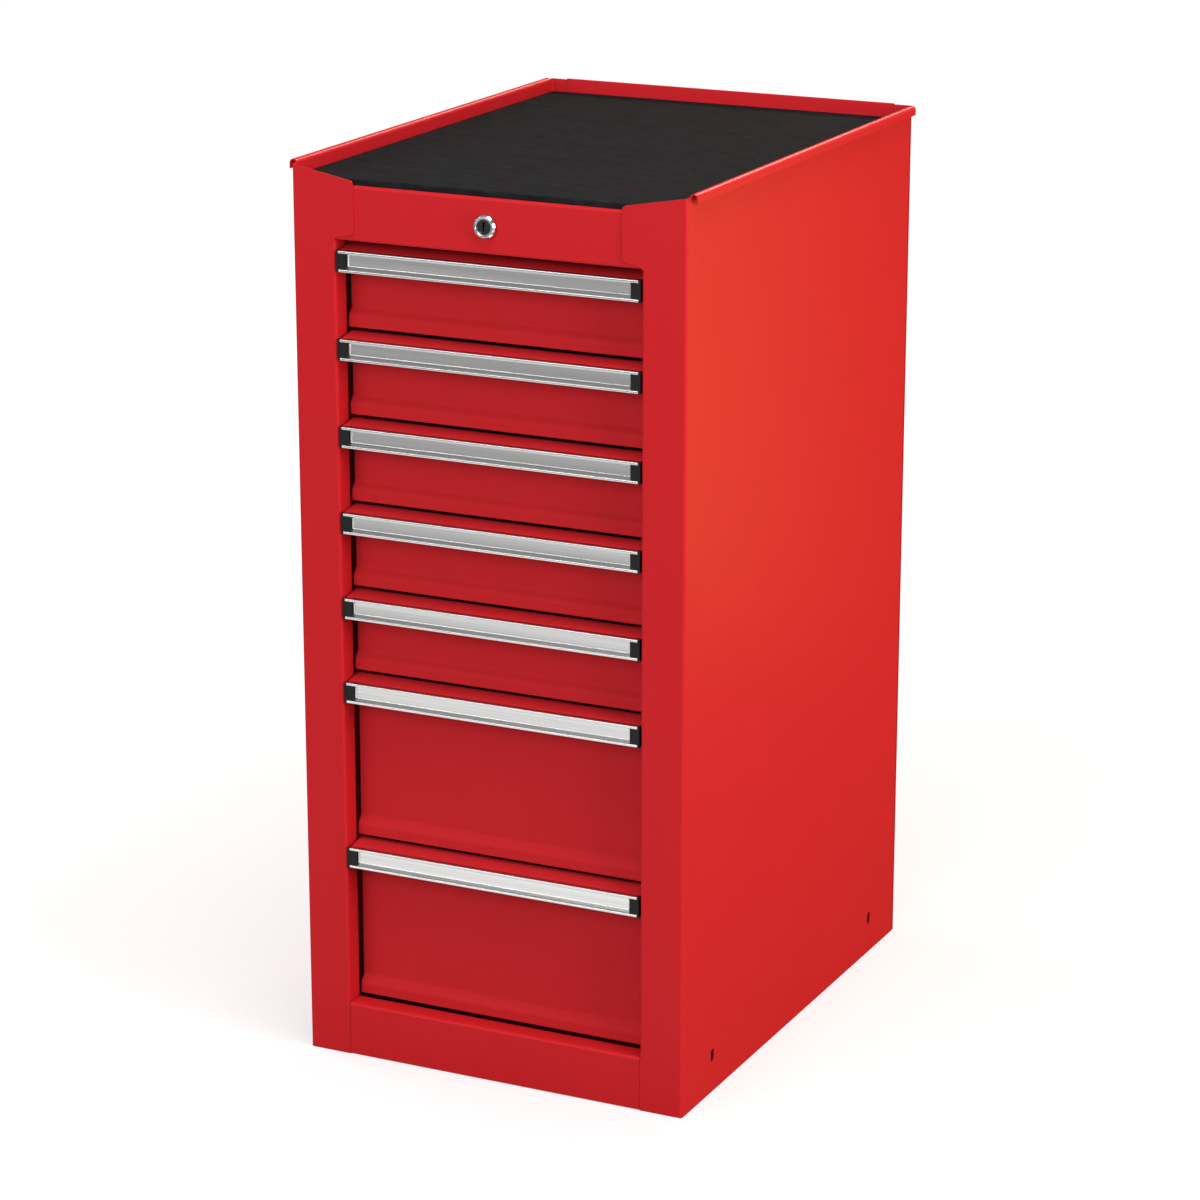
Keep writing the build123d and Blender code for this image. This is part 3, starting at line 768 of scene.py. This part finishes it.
@dataclass
class DrawerPulls:
    """Extruded pulls of the seven drawers, with the moulded caps in their ends."""

    metal: bpy.types.Material
    plastic: bpy.types.Material
    lip: float = 2.6 * MM
    lip_round: float = 0.75 * MM
    ledge: float = 1.3 * MM
    slope_top: float = 4.7 * MM
    slope_depth: float = 2.8 * MM
    face_foot: float = 5.3 * MM
    face_depth: float = 3.2 * MM
    crown: float = 3.5 * MM
    crown_depth: float = 2.5 * MM
    end_bead: float = 1.8 * MM
    end_bead_rise: float = 1.3 * MM
    bead_round: float = 0.75 * MM
    round_steps: int = 4
    bar_soften: float = 0.18 * MM
    bar_soften_steps: int = 2
    cap: float = 1.8 * MM
    plug: float = 7.0 * MM
    plug_recess: float = 0.4 * MM
    plug_fit: float = 0.08 * MM
    panel_inset: float = 0.9 * MM
    panel_sink: float = 0.25 * MM
    cap_soften: float = 0.3 * MM
    cap_soften_steps: int = 3

    def rows(self, low: Vector, high: Vector) -> list[tuple[float, float]]:
        """List the creases of the channel.

        Args:
            low: lowest corner of the pull.
            high: highest corner of the pull.

        Returns:
            The height of each crease and its depth behind the lips, from the bottom up.
        """
        return [
            (low.z + self.lip, self.ledge),
            (low.z + self.slope_top, self.slope_depth),
            (low.z + self.face_foot, self.face_depth),
            (high.z - self.crown, self.face_depth),
            (high.z - self.lip, self.crown_depth),
        ]

    def bar(self, low: Vector, high: Vector) -> bpy.types.Object:
        """Model the first pull: lips, sloped channel and the beads at the ends of its face.

        Args:
            low: lowest corner of the pull.
            high: highest corner of the pull.

        Returns:
            The finished pull.
        """
        bench = Bench("pull_bar_1")
        bench.block(low, high)
        rows = self.rows(low, high)
        channel_foot, channel_top = rows[0][0], rows[-1][0]
        bead_out = high.x - self.plug - self.plug_fit
        bead_in = bead_out - self.end_bead
        bench.cut(Axis.Z, [z for z, _ in rows])
        bench.cut(Axis.X, [-bead_out, -bead_in, bead_in, bead_out])
        channel_end = Vector((high.x, low.y, channel_top))
        bench.faces(Facing.FRONT, Vector((low.x, low.y, channel_foot)), channel_end)
        bench.push((0, self.ledge, 0))
        for z, depth in rows[1:]:
            bench.pick(Pick.VERTS, lambda v: near(v.co.z, z) and near(v.co.y, low.y + self.ledge))
            bench.shift((0, depth - self.ledge, 0))
        for side in (-1, 1):
            left, right = sorted((side * bead_in, side * bead_out))
            face_low = Vector((left, low.y + HIT, rows[1][0]))
            face_high = Vector((right, high.y - HIT, rows[-2][0]))
            bench.faces(Facing.FRONT, face_low, face_high)
            bench.push((0, -self.end_bead_rise, 0))
        bead_front = low.y + self.face_depth - self.end_bead_rise

        def bead_edge(edge: bmesh.types.BMEdge) -> bool:
            """Tell the upright edges on the front of a bead from the others.

            Args:
                edge: any edge of the pull.

            Returns:
                Whether it is one of them.
            """
            first, second = [v.co for v in edge.verts]
            upright = near(first.x, second.x) and not near(first.z, second.z)
            beside = any(near(abs(first.x), x) for x in (bead_in, bead_out))
            return upright and beside and near(first.y, bead_front) and near(second.y, bead_front)

        bench.pick(Pick.EDGES, bead_edge)
        bench.round_edges(self.bead_round, self.round_steps)
        lip_heights = (low.z, channel_foot, channel_top, high.z)

        def lip_edge(edge: bmesh.types.BMEdge) -> bool:
            """Tell the edges along the front of a lip from the others.

            Args:
                edge: any edge of the pull.

            Returns:
                Whether it is one of them.
            """
            first, second = [v.co for v in edge.verts]
            level = any(near(first.z, z) and near(second.z, z) for z in lip_heights)
            return level and near(first.y, low.y) and near(second.y, low.y)

        bench.pick(Pick.EDGES, lip_edge)
        bench.round_edges(self.lip_round, self.round_steps)
        piece = bench.close(self.metal)
        bench.soften(self.bar_soften, self.bar_soften_steps)
        return piece

    def caps(self, low: Vector, high: Vector) -> bpy.types.Object:
        """Model the two caps of the first pull, each an end plate with a plug in the channel.

        Args:
            low: lowest corner of the pull.
            high: highest corner of the pull.

        Returns:
            The finished pair.
        """
        bench = Bench("pull_caps_1")
        bench.block(Vector((high.x, low.y, low.z)), Vector((high.x + self.cap, high.y, high.z)))
        rows = self.rows(low, high)
        fit = self.plug_fit
        heights = [rows[0][0] + fit] + [z for z, _ in rows[1:-1]] + [rows[-1][0] - fit]
        front = low.y + self.plug_recess
        back = low.y + self.ledge - fit
        tip = high.x - self.plug
        bench.cut(Axis.Z, heights)
        bench.cut(Axis.Y, [front, back])
        plug_end = Vector((high.x, back, heights[-1]))
        bench.faces(Facing.LEFT, Vector((high.x, front, heights[0])), plug_end)
        bench.push((-self.plug, 0, 0))
        for z, (_, depth) in zip(heights[1:], rows[1:]):
            bench.pick(Pick.VERTS, lambda v: v.co.x < tip + HIT and near(v.co.z, z) and near(v.co.y, back))
            bench.shift((0, depth - self.ledge, 0))
        panel_end = Vector((high.x, front, heights[-1]))
        bench.faces(Facing.FRONT, Vector((tip, front, heights[0])), panel_end)
        bpy.ops.mesh.inset(thickness=self.panel_inset, depth=-self.panel_sink)
        piece = bench.close(self.plastic)
        bench.soften(self.cap_soften, self.cap_soften_steps)
        halves = piece.modifiers.new("halves", "MIRROR")
        halves.use_axis = (True, False, False)
        halves.use_mirror_merge = False
        bpy.ops.object.modifier_apply(modifier=halves.name)
        return piece

    def build(self) -> None:
        """Model one pull with its caps and fit copies of both to every drawer."""
        low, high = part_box("drawer_1_pull")
        bar = self.bar(low, high)
        caps = self.caps(low, high)
        for number in DRAWERS:
            drop = Vector((0, 0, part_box(f"drawer_{number}_pull")[0].z - low.z))
            own_bar = bar if number == 1 else twin(bar, f"pull_bar_{number}", drop)
            own_caps = caps if number == 1 else twin(caps, f"pull_caps_{number}", drop)
            place(own_bar, f"drawer_{number}", "pull_aluminium", [f"drawer_{number}_pull"])
            place(own_caps, f"drawer_{number}", "cap_plastic", [f"drawer_{number}_pull_caps"])


@dataclass
class KeyLock:
    """Bezel and plug of the key lock in the middle of the rail."""

    bezel_metal: bpy.types.Material
    plug_metal: bpy.types.Material
    sides: int = 96
    face_radius: float = 8.7 * MM
    cone: float = 2.3 * MM
    cone_round: float = 0.9 * MM
    cone_steps: int = 5
    recess_radius: float = 7.3 * MM
    recess: float = 0.7 * MM
    bore_gap: float = 0.06 * MM
    bore_stub: float = 0.7 * MM
    barrel_radius: float = 8.0 * MM
    bezel_soften: float = 0.22 * MM
    bezel_soften_steps: int = 3
    plug_radius: float = 6.4 * MM
    plug_rim: float = 1.1 * MM
    plug_sink: float = 0.45 * MM
    plug_soften: float = 0.15 * MM
    plug_soften_steps: int = 2
    sharp_deg: float = 40.0
    tail: float = 3.0 * MM
    keyway_width: float = 2.0 * MM
    keyway_height: float = 8.6 * MM
    keyway_depth: float = 9.0 * MM
    keyway_overrun: float = 2.25 * MM
    ward_share: float = 0.3
    ward_slant_share: float = 0.05

    def bezel(self) -> bpy.types.Object:
        """Model the bezel with its rounded cone, recess and hollow barrel.

        Returns:
            The finished bezel.
        """
        low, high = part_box("lock_housing")
        middle = (low.z + high.z) / 2
        radius = (high.x - low.x) / 2
        bore = self.plug_radius + self.bore_gap
        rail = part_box("top_panel")[0].y
        cone_foot = low.y + self.cone
        bench = Bench("lock_bezel")
        bench.drum(radius, (low.y, rail), middle, self.sides)
        bench.cut(Axis.Y, [cone_foot])
        bench.faces(Facing.FRONT, *plane_at(low.y))
        bench.widen(self.face_radius / radius, (0, low.y, middle))
        bench.pick(Pick.EDGES, lambda e: all(near(v.co.y, cone_foot) for v in e.verts))
        bench.round_edges(self.cone_round, self.cone_steps)
        bench.faces(Facing.FRONT, *plane_at(low.y))
        bpy.ops.mesh.inset(thickness=self.face_radius - self.recess_radius)
        bench.push((0, self.recess, 0))
        bpy.ops.mesh.inset(thickness=self.recess_radius - bore)
        bench.push((0, self.bore_stub, 0))
        bench.faces(Facing.BACK, *plane_at(rail))
        bpy.ops.mesh.inset(thickness=radius - self.barrel_radius)
        bench.push((0, high.y - rail, 0))
        bpy.ops.mesh.inset(thickness=self.barrel_radius - bore)
        bench.push((0, -self.bore_stub, 0))
        stub_ends = (low.y + self.recess + self.bore_stub, high.y - self.bore_stub)

        def stub_end(face: bmesh.types.BMFace) -> bool:
            """Return whether a face closes one of the bore's stubs."""
            y = face.calc_center_median().y
            return len(face.verts) == self.sides and any(near(y, end) for end in stub_ends)

        bench.pick(Pick.FACES, stub_end)
        bpy.ops.mesh.bridge_edge_loops()
        piece = bench.close(self.bezel_metal)
        bench.soften(self.bezel_soften, self.bezel_soften_steps, self.sharp_deg)
        return piece

    def core(self) -> bpy.types.Object:
        """Model the plug with its keyway, wards and flanged tail.

        Returns:
            The finished plug.
        """
        low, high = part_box("lock_plug")
        middle = (low.z + high.z) / 2
        tail_radius = (high.x - low.x) / 2
        tail = high.y - self.tail
        bench = Bench("lock_core")
        bench.drum(self.plug_radius, (low.y, tail), middle, self.sides)
        bench.faces(Facing.BACK, *plane_at(tail))
        bench.push((0, 0, 0))  # a new edge where the old one is, widened next into the tail's flange
        bench.widen(tail_radius / self.plug_radius, (0, tail, middle))
        bench.push((0, high.y - tail, 0))
        bench.faces(Facing.FRONT, *plane_at(low.y))
        bpy.ops.mesh.inset(thickness=self.plug_rim)
        bench.push((0, self.plug_sink, 0))
        piece = bench.close(self.plug_metal)
        cutter = self.key_cutter(Vector((0, low.y, middle)))
        slot = piece.modifiers.new("keyway", "BOOLEAN")
        slot.operation = "DIFFERENCE"
        slot.object = cutter
        slot.solver = "EXACT"
        bench.hold()
        bpy.ops.object.modifier_apply(modifier=slot.name)
        bpy.data.objects.remove(cutter)
        bench.soften(self.plug_soften, self.plug_soften_steps, self.sharp_deg)
        return piece

    def key_cutter(self, face: Vector) -> bpy.types.Object:
        """Model the shape of the keyway, narrower in its lower half.

        Args:
            face: middle of the plug's face.

        Returns:
            The block that is cut out of the plug.
        """
        bench = Bench("keyway_cutter")
        half_width, half_height = self.keyway_width / 2, self.keyway_height / 2
        low = face + Vector((-half_width, -self.keyway_overrun, -half_height))
        high = face + Vector((half_width, self.keyway_depth, half_height))
        bench.block(low, high)
        slant = self.keyway_height * self.ward_slant_share
        bench.cut(Axis.Z, [face.z - slant, face.z + slant])
        bench.pick(Pick.VERTS, lambda v: v.co.z < face.z and v.co.x > face.x)
        bench.shift((-self.keyway_width * self.ward_share, 0, 0))
        return bench.close(self.plug_metal)

    def build(self) -> None:
        """Model the bezel and the plug and fix each to its body."""
        place(self.bezel(), "case", "lock_chrome", ["lock_housing"])
        place(self.core(), "lock_plug_and_rod", "lock_chrome", ["lock_plug"])


@dataclass
class TrayMat:
    """Foam rubber mat that lies in the tray on top."""

    rubber: bpy.types.Material
    corner: float = 5.0 * MM
    corner_steps: int = 6
    edge: float = 1.4 * MM
    edge_steps: int = 4
    cells: int = 48
    level_margin: float = 2.8 * MM
    swell: float = 0.5 * MM
    lump: float = 90.0 * MM

    def build(self) -> None:
        """Model the mat with round corners and soft edges, and fix it to the case."""
        low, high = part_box("top_mat")
        bench = Bench("tray_mat")
        bench.block(low, high)
        bench.pick(Pick.EDGES, lambda e: not near(e.verts[0].co.z, e.verts[1].co.z))
        bench.round_edges(self.corner, self.corner_steps)
        bench.pick(Pick.EDGES, lambda e: all(near(v.co.z, high.z) for v in e.verts))
        bench.round_edges(self.edge, self.edge_steps)
        steps = [k / self.cells for k in range(1, self.cells)]
        bench.cut(Axis.X, [low.x + (high.x - low.x) * s for s in steps])
        bench.cut(Axis.Y, [low.y + (high.y - low.y) * s for s in steps])
        piece = bench.close(self.rubber)
        self.unsettle(piece, low, high)
        place(piece, "case", "mat_rubber", ["top_mat"])

    def unsettle(self, piece: bpy.types.Object, low: Vector, high: Vector) -> None:
        """Make the mat's top slightly uneven.

        Args:
            piece: the mat.
            low: its lowest corner.
            high: its highest corner.
        """
        lumps = bpy.data.textures.new("mat_lumps", "CLOUDS")
        lumps.noise_scale = self.lump
        top = piece.vertex_groups.new(name="top")
        chosen = [v.index for v in piece.data.vertices if self.on_top(v.co, low, high)]
        top.add(chosen, 1.0, "REPLACE")
        uneven = piece.modifiers.new("uneven", "DISPLACE")
        uneven.texture = lumps
        uneven.texture_coords = "LOCAL"
        uneven.direction = "Z"
        uneven.mid_level = 1.0
        uneven.strength = self.swell
        uneven.vertex_group = top.name
        bpy.ops.object.modifier_apply(modifier=uneven.name)

    def on_top(self, spot: Vector, low: Vector, high: Vector) -> bool:
        """Return whether a point lies on the mat's top, away from its edge."""
        margin = self.level_margin
        return near(spot.z, high.z) and all(low[k] + margin < spot[k] < high[k] - margin for k in range(2))


@dataclass
class SheetAndSlides:
    """The solids of the frame that stay as they are and only get their finish."""

    finishes: dict[str, bpy.types.Material]
    # the drawer fronts' coat, whose darker red is painted shade of their recess
    matt_shaded_coat: bpy.types.Material

    def dress(self) -> None:
        """Give each solid the finish of its material slot, and the drawer fronts a flatter coat whose
        darker red is painted shade.
        """
        for subpart in frame["record"]["subparts"]:
            node = frame["nodes"][subpart["node"]]
            node.material_slots[0].material = self.finishes[subpart["material_slot"]]
        for number in DRAWERS:
            frame["nodes"][f"drawer_{number}_front"].material_slots[0].material = self.matt_shaded_coat
        LOG.info("%d solids dressed", len(frame["nodes"]))


@dataclass(frozen=True)
class AreaLamp:
    """One soft lamp that faces a point."""

    name: str
    place: Triple
    aim: Triple
    width: float
    height: float
    power: float
    colour: Triple = (1.0, 1.0, 1.0)

    def build(self) -> None:
        """Hang the lamp."""
        light = bpy.data.lights.new(self.name, "AREA")
        light.shape = "RECTANGLE"
        light.size = self.width
        light.size_y = self.height
        light.energy = self.power
        light.color = self.colour
        lamp = bpy.data.objects.new(self.name, light)
        lamp.location = self.place
        lamp.rotation_euler = (Vector(self.aim) - Vector(self.place)).to_track_quat("-Z", "Y").to_euler()
        lamp.visible_camera = False
        bpy.context.scene.collection.objects.link(lamp)


@dataclass
class Studio:
    """Pale floor, soft lamps, surroundings and the camera at the photo's viewing angle."""

    lamps: tuple[AreaLamp, ...] = (
        AreaLamp("front_key", place=(-0.3, -3.0, 1.8), aim=(0.0, -0.24, 0.4), width=2.0, height=1.2,
                 power=29.8),
        AreaLamp("front_strip", place=(-1.6, -3.0, 1.2), aim=(0.0, -0.2, 0.4), width=1.4, height=0.5,
                 power=14.5),
        AreaLamp("side_key", place=(1.9, -0.55, 0.93), aim=(0.18, -0.15, 0.45), width=1.0, height=1.0,
                 power=28.3, colour=(1.0, 0.97, 0.94)),
        AreaLamp("left_fill", place=(-2.0, 0.15, 1.0), aim=(-0.18, 0.0, 0.45), width=1.0, height=1.0,
                 power=20.0),
        AreaLamp("overhead", place=(0.5, -0.62, 2.5), aim=(0.0, -0.15, 0.7), width=1.0, height=1.0,
                 power=25.0),
        AreaLamp("rear_rim", place=(0.2, 2.6, 2.3), aim=(0.0, 0.0, 0.8), width=0.9, height=0.5,
                 power=36.0, colour=(1.0, 0.80, 0.62)),
        AreaLamp("warm_card", place=(0.88, 0.76, 0.40), aim=(0.18, -0.2, 0.6), width=0.45, height=0.62,
                 power=2.1, colour=(1.0, 0.68, 0.12)),
    )
    floor_size: float = 30.0
    surround: float = 0.30
    mirrored_sky: float = 0.26
    shown_sky: float = 1.0
    azimuth_deg: float = 25.72
    elevation_deg: float = 16.64
    distance: float = 3.495
    aim: Triple = (-0.0077, -0.0122, 0.3764)
    view_deg: float = 17.58

    def floor(self) -> None:
        """Lay the pale floor."""
        bpy.ops.object.select_all(action="DESELECT")
        bpy.ops.mesh.primitive_plane_add(size=self.floor_size)
        ground = bpy.context.object
        ground.name = "studio_floor"
        ground.data.materials.append(PaleFloor().material())

    def surroundings(self) -> None:
        """Set the soft light from all round, which looks white to the camera and pale in metal."""
        world = bpy.data.worlds.new("studio")
        bpy.context.scene.world = world
        world.use_nodes = True
        desk = NodeDesk(world.node_tree)
        straight, mirrored = desk.ray_kinds()
        soft, sky, white = [
            desk.node("ShaderNodeBackground", {}, {"Color": WHITE, "Strength": level})
            for level in (self.surround, self.mirrored_sky, self.shown_sky)
        ]
        shown = desk.node("ShaderNodeMixShader", {}, {0: straight, 1: soft, 2: white})
        surface = desk.node("ShaderNodeMixShader", {}, {0: mirrored, 1: shown, 2: sky})
        desk.node("ShaderNodeOutputWorld", {}, {"Surface": surface})

    def camera(self) -> None:
        """Set up the camera at the photo's viewing angle."""
        data = bpy.data.cameras.new("camera")
        data.sensor_fit = "HORIZONTAL"
        data.angle = math.radians(self.view_deg)
        eye = bpy.data.objects.new("camera", data)
        turn, rise = math.radians(self.azimuth_deg), math.radians(self.elevation_deg)
        back = Vector((math.sin(turn) * math.cos(rise), -math.cos(turn) * math.cos(rise), math.sin(rise)))
        eye.location = Vector(self.aim) + back * self.distance
        eye.rotation_euler = (math.pi / 2 - rise, 0, turn)
        bpy.context.scene.collection.objects.link(eye)
        bpy.context.scene.camera = eye

    def build(self) -> None:
        """Set up the whole studio."""
        bpy.context.scene.view_settings.view_transform = "Standard"
        self.floor()
        self.surroundings()
        for lamp in self.lamps:
            lamp.build()
        self.camera()


def main() -> None:
    """Build and dress every sub-assembly and set up the studio."""
    logging.basicConfig(level=logging.INFO, format="%(name)s: %(message)s")
    red = PowderCoat().material()
    # the drawer fronts get the same powder coat, rougher and less glossy, in a darker red that paints the
    # shade of their recess
    matt_shaded_red = PowderCoat(
        name="matt_shaded_red_powder_coat",
        colour=(0.560, 0.0200, 0.0260, 1),
        deeper=(0.532, 0.0182, 0.0235, 1),
        roughness=0.55,
        gloss=0.05,
    ).material()
    rubber = MatRubber().material()
    aluminium = BrushedAluminium().material()
    plastic = MouldedPlastic().material()
    zinc = ZincPlate().material()
    steel = ZincPlate(
        name="plain_steel",
        colour=(0.58, 0.57, 0.56, 1),
        duller=(0.48, 0.47, 0.46, 1),
        grain_per_m=(90.0, 90.0, 90.0),
    ).material()
    nickel = PlatedLock(
        name="bright_nickel",
        colour=(0.74, 0.74, 0.73, 1),
        duller=(0.62, 0.62, 0.61, 1),
        roughness=0.07,
    ).material()
    blackened = PlatedLock(
        name="blackened_plate",
        colour=(0.10, 0.10, 0.105, 1),
        duller=(0.05, 0.05, 0.052, 1),
        roughness=0.16,
    ).material()
    SheetAndSlides({
        "red_paint": red,
        "mat_rubber": rubber,
        "pull_aluminium": aluminium,
        "cap_plastic": plastic,
        "slide_zinc": zinc,
        "lock_chrome": nickel,
        "rivet_steel": steel,
    }, matt_shaded_red).dress()
    TrayMat(rubber).build()
    DrawerPulls(aluminium, plastic).build()
    KeyLock(nickel, blackened).build()
    Studio().build()


if __name__ == "__main__":
    main()
